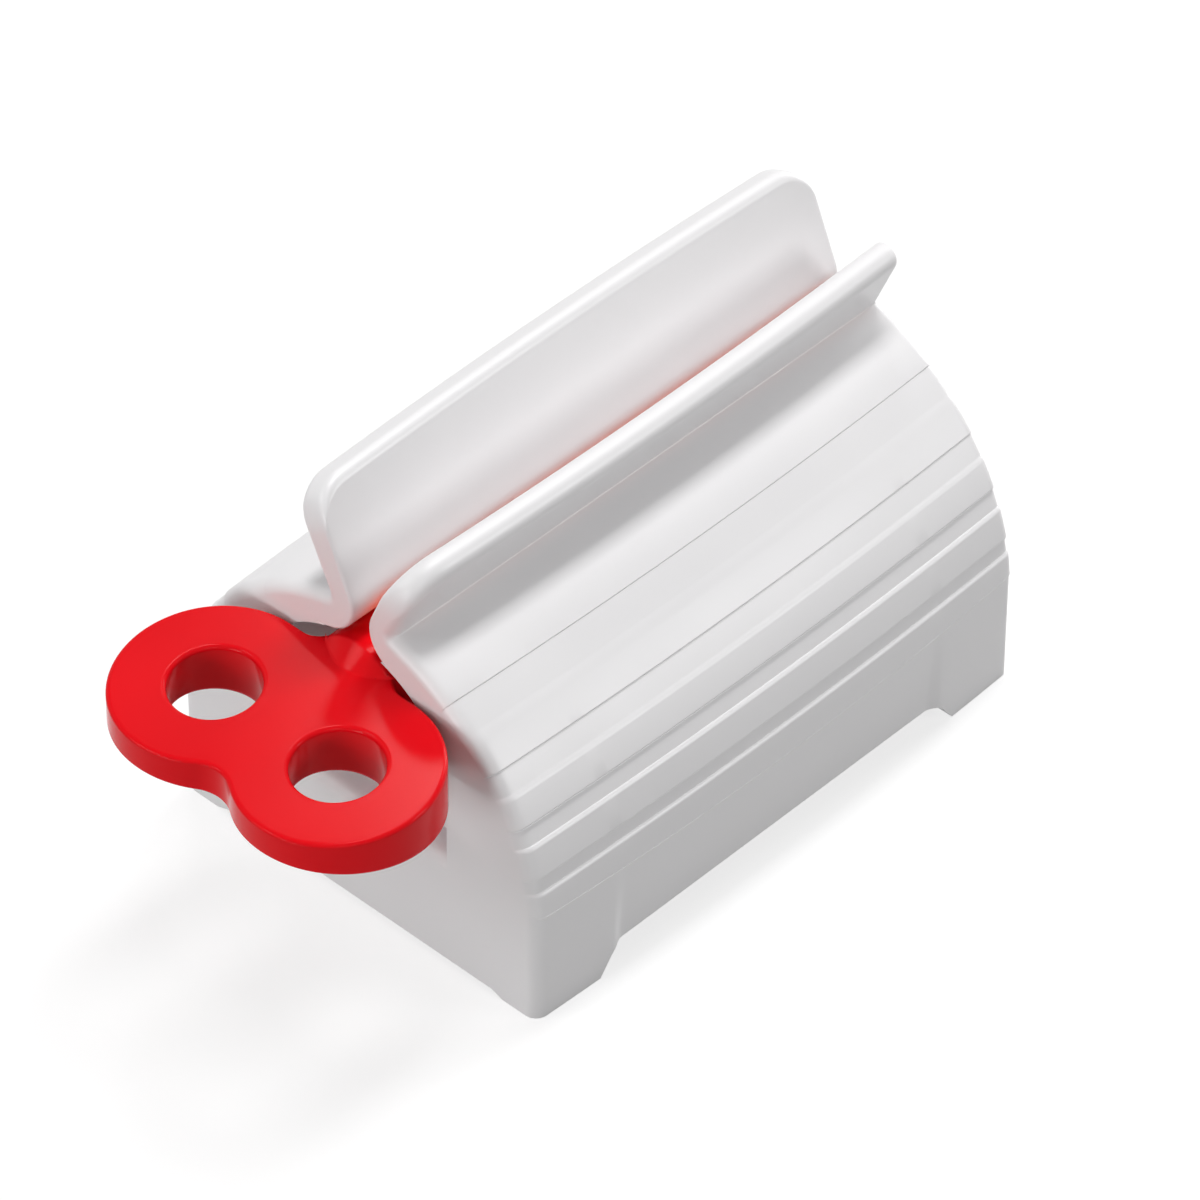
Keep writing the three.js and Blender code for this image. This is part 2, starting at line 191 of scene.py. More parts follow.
# %% Ridges along the shoulder
Groove = namedtuple("Groove", "start width depth roll")
GROOVES = [
    Groove(4.7, 1.5, 0.28, 0.6),
    Groove(10.0, 2.0, 0.26, 0.7),
    Groove(15.7, 2.5, 0.18, 1.3),
    Groove(22.7, 3.4, 0.14, 8.0),
]
FINE = 0.2
EDGE_STEPS = 4
ROLL_STEPS = 6
RIDGE_FOOT = 0.9
SIDE_SET_BACK = 0.15
PANEL_FACE = HALF_DEPTH - SIDE_SET_BACK
PANEL_TOP = VAULT_SPRING + RIDGE_FOOT


def along_shoulder(run, height, rise=0):
    """A point at a distance along the shoulder's curve, and a height over it."""
    angle = run / VAULT_RADIUS
    radius = VAULT_RADIUS + height
    face = Vector((math.cos(angle), math.sin(angle)))
    out, up = radius * face.x - VAULT_CENTRE, radius * face.y + VAULT_SPRING
    return Point(out, up, face.x, face.y, rise=rise)


def stretch(start, stop, height, pitch=1.2):
    steps = max(1, round((stop - start) / pitch))
    return [along_shoulder(start + (stop - start) * i / steps, height) for i in range(steps + 1)]


def lower_edge(run, depth, rise=0):
    """A quarter-round where a ridge starts."""
    points = []
    for step in range(EDGE_STEPS + 1):
        angle = math.radians(90 * step / EDGE_STEPS)
        along, over = 1 - math.cos(angle), math.sin(angle) - 1
        points.append(along_shoulder(run + depth * along, depth * over, rise))
    return points


def upper_roll(groove):
    """A wider round that ends on the floor of the groove above a ridge."""
    reach = math.acos(1 - groove.depth / groove.roll)
    points = []
    for step in range(ROLL_STEPS + 1):
        angle = reach * step / ROLL_STEPS
        back = math.sin(reach) - math.sin(angle)
        height = groove.roll * (math.cos(angle) - 1)
        points.append(along_shoulder(groove.start - groove.roll * back, height))
    return points


def ridged_shoulder(crease_run):
    points = lower_edge(RIDGE_FOOT, FINE, 1)
    foot = RIDGE_FOOT + FINE
    for groove in GROOVES:
        stop = groove.start + groove.width
        notch = max(0, groove.depth - FINE)
        roll_run = math.sqrt(groove.depth * (2 * groove.roll - groove.depth))
        points += stretch(foot, groove.start - roll_run, 0)
        points += upper_roll(groove)
        points += stretch(groove.start + FINE / 2, stop - FINE, -groove.depth)
        points.append(along_shoulder(stop, -groove.depth - notch))
        points += lower_edge(stop, groove.depth)
        foot = stop + groove.depth
    return points + stretch(foot, crease_run, 0)


print("ridges:", len(GROOVES) + 1)

# %% [markdown]
# Above the shoulder, two tangent arcs turn the strip upwards: a tight one in the outer crease and a
# wide one inside, where the tube slides past. The turned-up edge is straight between them and its
# rounded top.

# %% The whole section of one leaf
FOOT_HEIGHT = 2.7
PANEL_ROWS = (0, FOOT_HEIGHT, 5, 7.5, 10, PANEL_TOP - FINE)
RIM_END_SHARE = 0.8
SAME_POINT = 1e-3


def ease(value, start, stop):
    """Go smoothly from 0 at the start to 1 at the stop."""
    share = min(1, max(0, (value - start) / (stop - start)))
    return share * share * (3 - 2 * share)


def leaf_section(throat, lean, thickness, face_length, top_round):
    slope = math.radians(lean)
    along = Vector((math.sin(slope), math.cos(slope)))
    outwards = Vector((math.cos(slope), -math.sin(slope)))
    centre = Vector((-VAULT_CENTRE, VAULT_SPRING))

    bend_out = throat + THROAT_ROUND
    bend_up = math.sqrt((INNER_RADIUS + THROAT_ROUND) ** 2 - (bend_out + VAULT_CENTRE) ** 2)
    bend = Vector((bend_out, VAULT_SPRING + bend_up))
    face_start = bend - THROAT_ROUND * outwards

    first = face_start + (thickness + CREASE_ROUND) * outwards
    half = (first - centre).dot(along)
    rest = (first - centre).length_squared - (VAULT_RADIUS + CREASE_ROUND) ** 2
    crease = first + (math.sqrt(half * half - rest) - half) * along
    crease_angle = math.atan2(crease.y - centre.y, crease.x - centre.x)

    points = []
    for height in PANEL_ROWS:
        flat = 1 - ease(height, FOOT_HEIGHT, PANEL_TOP - FINE)
        points.append(Point(PANEL_FACE, height, 1, 0, panel=flat, rise=height / PANEL_TOP))
    points.append(Point(PANEL_FACE - FINE, PANEL_TOP, 1, 0, rise=1))
    points += ridged_shoulder(crease_angle * VAULT_RADIUS)
    crease_end = (END_ROUND, END_ROUND)
    points += arc(crease, CREASE_ROUND, crease_angle + math.pi, math.pi - slope, 6, -1, crease_end)
    rim = RIM_END_SHARE * top_round
    rim_up = face_start + (face_length - top_round) * along
    rim_out = rim_up + (thickness - top_round) * outwards
    points += arc(rim_out, top_round, -slope, math.pi / 2 - slope, 8, 1, (rim, rim), 1)
    rim_in = rim_up + top_round * outwards
    points += arc(rim_in, top_round, math.pi / 2 - slope, math.pi - slope, 8, 1, (rim, END_EDGE), 1)
    bend_stop = math.atan2(bend.y - centre.y, bend.x - centre.x)
    points += arc(bend, THROAT_ROUND, math.pi - slope, bend_stop + math.pi, 12)
    points += arc(centre, INNER_RADIUS, bend_stop, 0, 20, -1)
    points.append(Point(HALF_DEPTH - WALL, 0, -1, 0, END_EDGE))

    section = points[:1]
    for point in points[1:]:
        if math.dist(point[:2], section[-1][:2]) > SAME_POINT:
            section.append(point)
    return section, along


# %% [markdown]
# ## Wrapping a sheet round the section
# A grid has rows and columns already, so one grid makes a whole leaf: its columns become stations along
# the length and its rows the points of the section. Stations lie close together in the rounded ends
# and far apart in the plain middle. The long sides swell by less than a millimetre, as moulded
# walls do. Only low down between the feet do they stay flat, with a soft ramp at each end, and the foot
# of the ridges rises a little towards the ends. The seam and the two end caps are closed at last.

# %% Stations along the length
TALL_CORNER = 4.0
LIP_CORNER = 5.0
LIP_FAR_CORNER = 0.6
FOOT_LENGTH = 8.6
PANEL_INSET = 2.6
PANEL_RAMP = 1.8
PANEL_DROP = 0.25
FOOT_RISE = 0.9
panel_start = FOOT_LENGTH + PANEL_INSET - PANEL_RAMP / 2
panel_stop = panel_start + PANEL_RAMP
half_run = [END_ROUND * (1 - math.cos(math.radians(15 * step))) for step in range(7)]
half_run += [END_ROUND + (LIP_CORNER - END_ROUND) * step / 9 for step in range(1, 10)]
half_run += [LIP_CORNER + (panel_start - LIP_CORNER) * step / 8 for step in range(1, 8)]
half_run += [panel_start + PANEL_RAMP * step / 6 for step in range(7)]
half_run += [panel_stop + (MIDDLE - panel_stop) * (step / 14) ** 1.5 for step in range(1, 15)]
STATIONS = half_run + [LENGTH - x for x in reversed(half_run[:-1])]
print("stations:", len(STATIONS))


def round_off(distance, radius):
    """What a quarter-round takes away at a distance from its end."""
    if distance >= radius:
        return 0.0
    return radius - math.sqrt(radius**2 - (radius - distance) ** 2)


# %% Make a leaf
def make_leaf(name, side, section, along, top_drop):
    bpy.ops.object.select_all(action="DESELECT")
    columns = len(STATIONS) - 1
    rows = len(section)
    bpy.ops.mesh.primitive_grid_add(x_subdivisions=columns, y_subdivisions=rows, size=2)
    leaf = added(name)
    for vertex in leaf.data.vertices:
        x = STATIONS[round((vertex.co.x + 1) / 2 * columns)]
        point = section[round((vertex.co.y + 1) / 2 * rows) % rows]
        inset = round_off(x, point.edge) + round_off(LENGTH - x, min(point.edge, FAR_EDGE))
        from_middle = (x - MIDDLE) / MIDDLE
        flat = point.panel * ease(min(x, LENGTH - x), panel_start, panel_stop)
        share = max(point.top, ease(point.out, THROAT_ROUND, HALF_DEPTH / 2)) * (1 - flat)
        drop = top_drop(x) * point.top
        out = point.out - inset * point.face_out + SIDE_BOW * (1 - from_middle**2) * share
        out -= drop * along.x + PANEL_DROP * flat
        up = point.up - inset * point.face_up - drop * along.y + FOOT_RISE * from_middle**2 * point.rise
        vertex.co = Vector((NEAR_X + x, side * out, up)) * MM

    def close_ends():
        bpy.ops.mesh.remove_doubles(threshold=MERGE)
        bpy.ops.mesh.select_mode(type="EDGE")
        bpy.ops.mesh.select_all(action="DESELECT")
        bpy.ops.mesh.select_non_manifold()
        bpy.ops.mesh.fill_holes(sides=0)
        bpy.ops.mesh.select_all(action="SELECT")
        bpy.ops.mesh.normals_make_consistent(inside=False)

    edit(leaf, close_ends)
    print(name, "has", len(leaf.data.polygons), "faces")
    return leaf


# %% The front leaf with its lip, and the rear leaf with its tall wall
LEAN = 22.5
LIP_THROAT = 2.1
LIP_THICKNESS = 3.0
LIP_TOP_ROUND = LIP_THICKNESS / 2
LIP_FACE = 6.7 + LIP_TOP_ROUND
TALL_THROAT = -0.1
TALL_THICKNESS = 3.5
TALL_TOP_ROUND = TALL_THICKNESS / 3
TALL_FACE = 10.4 + TALL_TOP_ROUND


def lip_drop(x):
    return round_off(x, LIP_CORNER) + round_off(LENGTH - x, LIP_FAR_CORNER)


def tall_drop(x):
    return round_off(min(x, LENGTH - x), TALL_CORNER)


lip_section, along = leaf_section(LIP_THROAT, LEAN, LIP_THICKNESS, LIP_FACE, LIP_TOP_ROUND)
holder = make_leaf("holder_moulding", -1, lip_section, along, lip_drop)
tall_section, along = leaf_section(TALL_THROAT, LEAN, TALL_THICKNESS, TALL_FACE, TALL_TOP_ROUND)
rear_leaf = make_leaf("rear_leaf", 1, tall_section, along, tall_drop)

# %% [markdown]
# ## End walls
# A wall fills each end under the leaves. Its outline follows the middle of the leaves' thickness, so
# it always ends inside them. A round outline would be a cylinder, but this one is flat at the bottom and
# the top, so a filled circle's points are moved to it and the disc is then extruded.

# %% Make the walls
WALL_RISE = 5.2
DOORWAY_HALF = 12.0
DOORWAY_SILL = 14.0
DOORWAY_HEAD = 5.8
BEARING_WALL = 2.5
BEARING_MARGIN = 2.5


def under_vault(half_width, bottom):
    middle = VAULT_RADIUS - WALL / 2
    edge = min(half_width, middle - VAULT_CENTRE)
    start = math.acos((edge + VAULT_CENTRE) / middle)
    stop = math.asin((AXIS_Z + WALL_RISE - VAULT_SPRING) / middle)
    curve = arc((-VAULT_CENTRE, VAULT_SPRING), middle, start, stop, 16)
    right = [(edge, bottom)] + [(p.out, p.up) for p in curve]
    return right + [(-y, z) for y, z in reversed(right)]


def make_prism(name, outline, run):
    """Fill an outline that is given in space, and extrude it by a run."""
    bpy.ops.object.select_all(action="DESELECT")
    bpy.ops.mesh.primitive_circle_add(vertices=len(outline), fill_type="NGON")
    prism = added(name)
    for vertex, place in zip(prism.data.vertices, outline):
        vertex.co = Vector(place) * MM
    run = Vector(run) * MM
    edit(prism, lambda: bpy.ops.mesh.extrude_region_move(TRANSFORM_OT_translate={"value": run}))
    return edit(prism, faces_out)


def make_wall(name, outline, x_start, x_stop):
    return make_prism(name, [(x_start, y, z) for y, z in outline], (x_stop - x_start, 0, 0))


def make_block(name, low, high):
    bpy.ops.object.select_all(action="DESELECT")
    low, high = Vector(low) * MM, Vector(high) * MM
    bpy.ops.mesh.primitive_cube_add(size=1, location=(low + high) / 2, scale=high - low)
    return settle(added(name))


def make_rod(name, radius, x_start, x_stop):
    bpy.ops.object.select_all(action="DESELECT")
    place = Vector(((x_start + x_stop) / 2, AXIS_Y, AXIS_Z)) * MM
    bpy.ops.mesh.primitive_cylinder_add(
        vertices=96,
        radius=radius * MM,
        depth=(x_stop - x_start) * MM,
        location=place,
        rotation=(0, math.pi / 2, 0),
    )
    return settle(added(name))


recess_back = NEAR_X + END_WALL
near_wall = make_wall("near_wall", under_vault(HALF_DEPTH, 0), NEAR_X, recess_back)
far_wall = make_wall("far_wall", under_vault(HALF_DEPTH, 0), FAR_X - END_WALL, FAR_X)
back_outline = under_vault(DOORWAY_HALF + BEARING_MARGIN, DOORWAY_SILL - BEARING_MARGIN)
bearing_wall = make_wall("bearing_wall", back_outline, recess_back, recess_back + BEARING_WALL)
print("walls:", near_wall.name, far_wall.name, bearing_wall.name)

# %% [markdown]
# The recess round the roller and the two bearings are cut from the walls before they join the leaves,
# so that the cutters never touch the leaves' throat. The recess is a doorway with a round head, a
# rounded sill and slightly rounded upright edges. Its cutter is drawn three times, from the side, from
# above and from the end, and what the three prisms share has all these roundings.

# %% Cut the recess and the bearings, then join
CUT = 1.0
ROLLER_RADIUS = 5.5
BEARING_CLEARANCE = 0.35
BEARING_RADIUS = ROLLER_RADIUS + BEARING_CLEARANCE
SILL_ROUND = 1.8
RECESS_EDGE = 0.3
recess_top = AXIS_Z + WALL_RISE + CUT
sill = arc((NEAR_X + SILL_ROUND, DOORWAY_SILL - SILL_ROUND), SILL_ROUND, math.pi, math.pi / 2, 8)
side_view = [(NEAR_X - CUT, recess_top), (NEAR_X - CUT, DOORWAY_SILL - SILL_ROUND)]
side_view += [(p.out, p.up) for p in sill]
side_view += [(recess_back + CUT, DOORWAY_SILL), (recess_back + CUT, recess_top)]
recess = make_prism("recess", [(x, -HALF_DEPTH, z) for x, z in side_view], (0, 2 * HALF_DEPTH, 0))
edge_centre = (NEAR_X + RECESS_EDGE, DOORWAY_HALF + RECESS_EDGE)
edge_round = arc(edge_centre, RECESS_EDGE, math.pi, 1.5 * math.pi, 4)
top_view = [(NEAR_X - CUT, DOORWAY_HALF + RECESS_EDGE)]
top_view += [(p.out, p.up) for p in edge_round]
top_view += [(recess_back + 2 * CUT, DOORWAY_HALF)]
top_view += [(x, -y) for x, y in reversed(top_view)]
upright = make_prism("upright", [(x, y, -CUT) for x, y in top_view], (0, 0, recess_top + 2 * CUT))
combine(recess, upright, "INTERSECT")
head_radius = DOORWAY_HALF + RECESS_EDGE
head = arc((0, AXIS_Z + DOORWAY_HEAD - head_radius), head_radius, 0, math.pi, 32)
end_view = [(-head_radius, -CUT), (head_radius, -CUT)] + [(p.out, p.up) for p in head]
doorway = make_wall("doorway", end_view, NEAR_X - 2 * CUT, recess_back + 3 * CUT)
combine(recess, doorway, "INTERSECT")
combine(near_wall, recess, "DIFFERENCE")
combine(near_wall, bearing_wall, "UNION")
combine(near_wall, make_rod("near_bore", BEARING_RADIUS, NEAR_X - CUT, MIDDLE + NEAR_X), "DIFFERENCE")
combine(far_wall, make_rod("far_bore", BEARING_RADIUS, MIDDLE + NEAR_X, FAR_X + CUT), "DIFFERENCE")
combine(holder, rear_leaf, "UNION")
combine(holder, near_wall, "UNION")
combine(holder, far_wall, "UNION")
print("holder has", len(holder.data.polygons), "faces")

# %% [markdown]
# ## Feet
# The holder stands on its four corners: between them the long sides are lifted by a few millimetres and
# the ends by a hair. Each gap is a block with a narrower top, so that the feet get slanting cheeks, and
# its upper edges are bevelled to round the inner corners.

# %% Cut the gaps between the feet
FOOT_SLANT = 1.9
FOOT_WIDTH = 4.6
END_LIFT = 0.5
END_SLANT = 1.4
GAP_ROUND = 0.7
NEARLY = 0.01


def shrink_face(piece, test, factors):
    select_where(piece, test, "FACE")
    bpy.ops.transform.resize(value=factors)
    bpy.ops.object.mode_set(mode="OBJECT")


side_run = CUT * FOOT_SLANT / FOOT_HEIGHT
outer = HALF_DEPTH + SIDE_BOW + CUT
side_low = (NEAR_X + FOOT_LENGTH - side_run, -outer, -CUT)
side_high = (FAR_X - FOOT_LENGTH + side_run, outer, FOOT_HEIGHT)
side_gap = make_block("side_gap", side_low, side_high)
full_length = side_high[0] - side_low[0]
top_length = full_length - 2 * (FOOT_SLANT + side_run)
shrink_face(side_gap, lambda m: m.z > FOOT_HEIGHT - NEARLY, (top_length / full_length, 1, 1))
select_where(side_gap, lambda m: m.z > FOOT_HEIGHT - NEARLY and abs(m.y) < NEARLY, "EDGE")
bpy.ops.mesh.bevel(offset=GAP_ROUND * MM, segments=5)
bpy.ops.object.mode_set(mode="OBJECT")
combine(holder, side_gap, "DIFFERENCE")

end_run = CUT * END_SLANT / END_LIFT
end_half = HALF_DEPTH - FOOT_WIDTH
end_gap = make_block(
    "end_gap",
    (NEAR_X - CUT, -end_half - end_run, -CUT),
    (FAR_X + CUT, end_half + end_run, END_LIFT),
)
end_share = (end_half - END_SLANT) / (end_half + end_run)
shrink_face(end_gap, lambda m: m.z > END_LIFT - NEARLY, (1, end_share, 1))
combine(holder, end_gap, "DIFFERENCE")
print("holder has", len(holder.data.polygons), "faces")

# %% [markdown]
# ## Smooth shading
# The curved faces are shaded smoothly and corners sharper than 35 degrees stay crisp. A weighted-normal
# modifier then lets the large flat faces keep their own direction right up to the rounded edges.

# %% Shade the holder
def shade(piece, angle):
    edit(piece, faces_out)
    only(piece)
    bpy.ops.object.shade_smooth_by_angle(angle=math.radians(angle))
    weigh = piece.modifiers.new("weigh", "WEIGHTED_NORMAL")
    weigh.keep_sharp = True
    weigh.weight = 60
    bpy.ops.object.modifier_apply(modifier=weigh.name)


shade(holder, 35)
print("holder triangles:", sum(len(p.vertices) - 2 for p in holder.data.polygons))

# %% [markdown]
# ## The key's handle
# Seen from above, the handle is two lobes with a waist on the outer side, and a short neck that runs
# into the roller. Its outline is filled as one face, extruded to a plate and bevelled all round.

# %% Outline of the handle
HANDLE_GAP = 0.4
LOBE_OFFSET = 8.15
WAIST_ROUND = 4.0
NECK_ROUND = 2.2
NECK_HALF = 4.3
OUTER_X = key_low.x / MM
INNER_X = NEAR_X - HANDLE_GAP
LOBE_RADIUS = (INNER_X - OUTER_X) / 2
LOBE_X = INNER_X - LOBE_RADIUS


def handle_outline():
    reach = math.sqrt((LOBE_RADIUS + WAIST_ROUND) ** 2 - LOBE_OFFSET**2)
    meet = math.atan2(LOBE_OFFSET, reach)
    rear = arc((LOBE_X, AXIS_Y + LOBE_OFFSET), LOBE_RADIUS, 0, math.pi + meet, 72)
    waist = arc((LOBE_X - reach, AXIS_Y), WAIST_ROUND, meet, -meet, 14)
    front = arc((LOBE_X, AXIS_Y - LOBE_OFFSET), LOBE_RADIUS, math.pi - meet, 2 * math.pi, 72)
    neck_out = NECK_HALF + NECK_ROUND
    neck_x = INNER_X + NECK_ROUND
    front_neck = arc((neck_x, AXIS_Y - neck_out), NECK_ROUND, math.pi, math.pi / 2, 10)
    rear_neck = arc((neck_x, AXIS_Y + neck_out), NECK_ROUND, -math.pi / 2, -math.pi, 10)
    return [(p.out, p.up, 0) for p in rear + waist[1:-1] + front + front_neck + rear_neck]


ROOT_THICKNESS = 7.0
RIM_THICKNESS = 3.4
EDGE_ROUND = 0.5
PLATE = (ROOT_THICKNESS + RIM_THICKNESS) / 2
key = make_prism("key_moulding", handle_outline(), (0, 0, PLATE))
edit(
    key,
    lambda: bpy.ops.mesh.select_mode(type="EDGE"),
    lambda: bpy.ops.mesh.select_all(action="DESELECT"),
    lambda: bpy.ops.mesh.edges_select_sharp(sharpness=math.radians(60)),
    lambda: bpy.ops.mesh.bevel(offset=EDGE_ROUND * MM, segments=5, profile=0.5),
)
print("handle plate has", len(key.data.polygons), "faces")

# %% [markdown]
# Each lobe has a finger hole with a rounded rim. The cutter for it is turned like a bobbin: narrow in
# the middle and flaring at both ends, so that one cut makes the hole and both of its rims. The plate
# is then tapered, thick at the roller and thin at its outer end.

# %% Turned solids
def next_ring(step, ratio):
    """Extrude the selected disc along a step and resize it about its own middle."""
    bpy.ops.mesh.extrude_region_move(TRANSFORM_OT_translate={"value": Vector(step) * MM})
    bpy.ops.transform.resize(value=(ratio, ratio, ratio))


def make_turned(name, centre, rings, direction, sides=96):
    """Turn a solid from rings, each a distance along a direction and a radius."""
    bpy.ops.object.select_all(action="DESELECT")
    direction = Vector(direction)
    bpy.ops.mesh.primitive_circle_add(
        vertices=sides,
        radius=rings[0][1] * MM,
        fill_type="NGON",
        location=(Vector(centre) + rings[0][0] * direction) * MM,
        rotation=direction.to_track_quat("Z", "Y").to_euler(),
    )
    turned = settle(added(name))
    bpy.ops.object.mode_set(mode="EDIT")
    bpy.ops.mesh.select_all(action="SELECT")
    for (start, before), (stop, after) in zip(rings, rings[1:]):
        next_ring((stop - start) * direction, after / before)
    bpy.ops.object.mode_set(mode="OBJECT")
    return edit(turned, faces_out)


# %% Cut the finger holes and taper the plate
HOLE_RADIUS = 4.6
RIM_ROUND = 0.5
FLARE_STEPS = 5
FLARE_TURN = 16
FLARE_PAST = 0.2
FLARE_OUT = 1.2
flare = []
for step in range(FLARE_STEPS + 1):
    angle = math.radians(FLARE_TURN * step)
    radius = HOLE_RADIUS + RIM_ROUND * (1 - math.cos(angle))
    flare.append((RIM_ROUND * (1 - math.sin(angle)), radius))
flare.append((-FLARE_PAST, flare[-1][1] + FLARE_OUT))
bobbin = flare[::-1]
bobbin += [(PLATE - height, radius) for height, radius in flare]
for side in (-1, 1):
    hole_centre = (LOBE_X, AXIS_Y + side * LOBE_OFFSET, 0)
    combine(key, make_turned("bobbin", hole_centre, bobbin, (0, 0, 1)), "DIFFERENCE")


def thickness_at(x):
    share = min(1, (x - OUTER_X) / (NEAR_X - OUTER_X))
    return RIM_THICKNESS + (ROOT_THICKNESS - RIM_THICKNESS) * share


for vertex in key.data.vertices:
    height = vertex.co.z / (PLATE * MM) - 0.5
    vertex.co.z = (AXIS_Z + height * thickness_at(vertex.co.x / MM)) * MM
print("handle is", thickness_at(OUTER_X), "to", thickness_at(NEAR_X), "mm thick")

# %% [markdown]
# ## The roller
# The roller grows from the handle as a cone and runs through both bearings. It is turned as well, from
# its chamfered tip back into the plate. The seam of the cone and the cylinder gets a small bevel, which
# catches a thin line of light, and so does the seam where the cone leaves the plate.

# %% Turn the roller, cut its slot and join it to the handle
TIP_SET_BACK = 0.8
TIP_CHAMFER = 0.8
SHOULDER_START = INNER_X - 1.95
SHOULDER_STOP = INNER_X + 0.6
SHOULDER_RADIUS = 2.5
SEAM_ROUND = 0.22
SEAM_REACH = 0.06
SLOT_WIDTH = 2.0
SLOT_END = 1.5
tip = FAR_X - TIP_SET_BACK
profile = [
    (tip, ROLLER_RADIUS - TIP_CHAMFER),
    (tip - TIP_CHAMFER, ROLLER_RADIUS),
    (SHOULDER_STOP, ROLLER_RADIUS),
    (SHOULDER_START, SHOULDER_RADIUS),
]
rings = [(tip - x, radius) for x, radius in profile]
roller = make_turned("roller", (tip, AXIS_Y, AXIS_Z), rings, (-1, 0, 0))
select_where(roller, lambda m: abs(m.x - SHOULDER_STOP) < NEARLY, "EDGE")
bpy.ops.mesh.bevel(offset=SEAM_ROUND * MM, segments=3)
bpy.ops.object.mode_set(mode="OBJECT")
slot_start = recess_back + BEARING_WALL + SLOT_END
slot_stop = FAR_X - END_WALL - SLOT_END
slot = make_block(
    "slot",
    (slot_start, AXIS_Y - SLOT_WIDTH / 2, AXIS_Z - ROLLER_RADIUS - CUT),
    (slot_stop, AXIS_Y + SLOT_WIDTH / 2, AXIS_Z + ROLLER_RADIUS + CUT),
)
combine(roller, slot, "DIFFERENCE")
combine(key, roller, "UNION")


def on_seam(middle):
    """True where an edge lies both on the cone and on the plate's top or bottom."""
    slope = (ROLLER_RADIUS - SHOULDER_RADIUS) / (SHOULDER_STOP - SHOULDER_START)
    cone = SHOULDER_RADIUS + slope * (middle.x - SHOULDER_START)
    from_axis = math.hypot(middle.y - AXIS_Y, middle.z - AXIS_Z)
    over_plate = abs(middle.z - AXIS_Z) - thickness_at(middle.x) / 2
    off_seam = max(abs(from_axis - cone), abs(over_plate))
    return middle.x < SHOULDER_STOP and off_seam < SEAM_REACH


select_where(key, on_seam, "EDGE")
bpy.ops.mesh.bevel(offset=SEAM_ROUND * MM, segments=3)
bpy.ops.object.mode_set(mode="OBJECT")
shade(key, 32)
print("key triangles:", sum(len(p.vertices) - 2 for p in key.data.polygons))

# %% [markdown]
# ## Moulded plastic
# Both pieces are moulded plastic, and they share one effect: a faint unevenness that the mould's
# polish leaves. It is a node group with its own scale. It puts out a height for the bump, a roughness
# that changes a little over the surface, and a cloud that mixes two near tones. Colour and gloss stay
# in each material.

# %% The mould's polish, as a node group
def new_group(name, inputs, outputs):
    """A shader node group with plain number sockets."""
    group = bpy.data.node_groups.new(name, "ShaderNodeTree")
    for way, sockets in (("INPUT", inputs), ("OUTPUT", outputs)):
        for socket in sockets:
            group.interface.new_socket(socket, in_out=way, socket_type="NodeSocketFloat")
    return group


def mould_polish():
    inputs = ("Scale", "Roughness Low", "Roughness High")
    group = new_group("mould_polish", inputs, ("Roughness", "Height", "Cloud"))
    nodes, links = group.nodes, group.links
    entry = nodes.new("NodeGroupInput")
    leave = nodes.new("NodeGroupOutput")
    place = nodes.new("ShaderNodeTexCoord")
    fine = nodes.new("ShaderNodeTexNoise")
    fine.inputs["Detail"].default_value = 3.0
    broad = nodes.new("ShaderNodeTexNoise")
    broad.inputs["Scale"].default_value = 55.0
    broad.inputs["Detail"].default_value = 2.0
    rough = nodes.new("ShaderNodeMapRange")
    links.new(place.outputs["Object"], fine.inputs["Vector"])
    links.new(place.outputs["Object"], broad.inputs["Vector"])
    links.new(entry.outputs["Scale"], fine.inputs["Scale"])
    links.new(broad.outputs["Fac"], rough.inputs["Value"])
    links.new(entry.outputs["Roughness Low"], rough.inputs["To Min"])
    links.new(entry.outputs["Roughness High"], rough.inputs["To Max"])
    rough.inputs["From Min"].default_value = 0.3
    rough.inputs["From Max"].default_value = 0.7
    links.new(rough.outputs["Result"], leave.inputs["Roughness"])
    links.new(fine.outputs["Fac"], leave.inputs["Height"])
    links.new(broad.outputs["Fac"], leave.inputs["Cloud"])
    return group


polish = mould_polish()
print("group outputs:", [s.name for s in polish.interface.items_tree if s.in_out == "OUTPUT"])


# %% [markdown]
# ## Painted red light in the throat
# Where the two leaves almost meet, the white picks up the red of the roller, and there it lets some
# light through as well. Bounced light alone is weaker than that, so this red light is painted on: a
# red tint in the colour and a faint red glow. A second group says how close a point is to the roller's
# axis. It counts above the bearings only, and fades out before both ends.

# %% How much painted red tint and glow a white surface gets
PAINTED_RED_START = 10.5
PAINTED_RED_FULL = 7.0
PAINTED_RED_FLOOR = AXIS_Z + DOORWAY_HEAD
FLOOR_FADE = 1
END_FADE = 0.5
NEAR_FADE = 4
FAR_FADE = 2


def fade(group, value, start, stop, earlier=None):
    """Rise to 1, or to an earlier fade, while a value goes from start to stop in millimetres."""
    node = group.nodes.new("ShaderNodeMapRange")
    node.inputs["From Min"].default_value = start * MM
    node.inputs["From Max"].default_value = stop * MM
    group.links.new(value, node.inputs["Value"])
    if earlier is not None:
        group.links.new(earlier.outputs["Result"], node.inputs["To Max"])
    return node
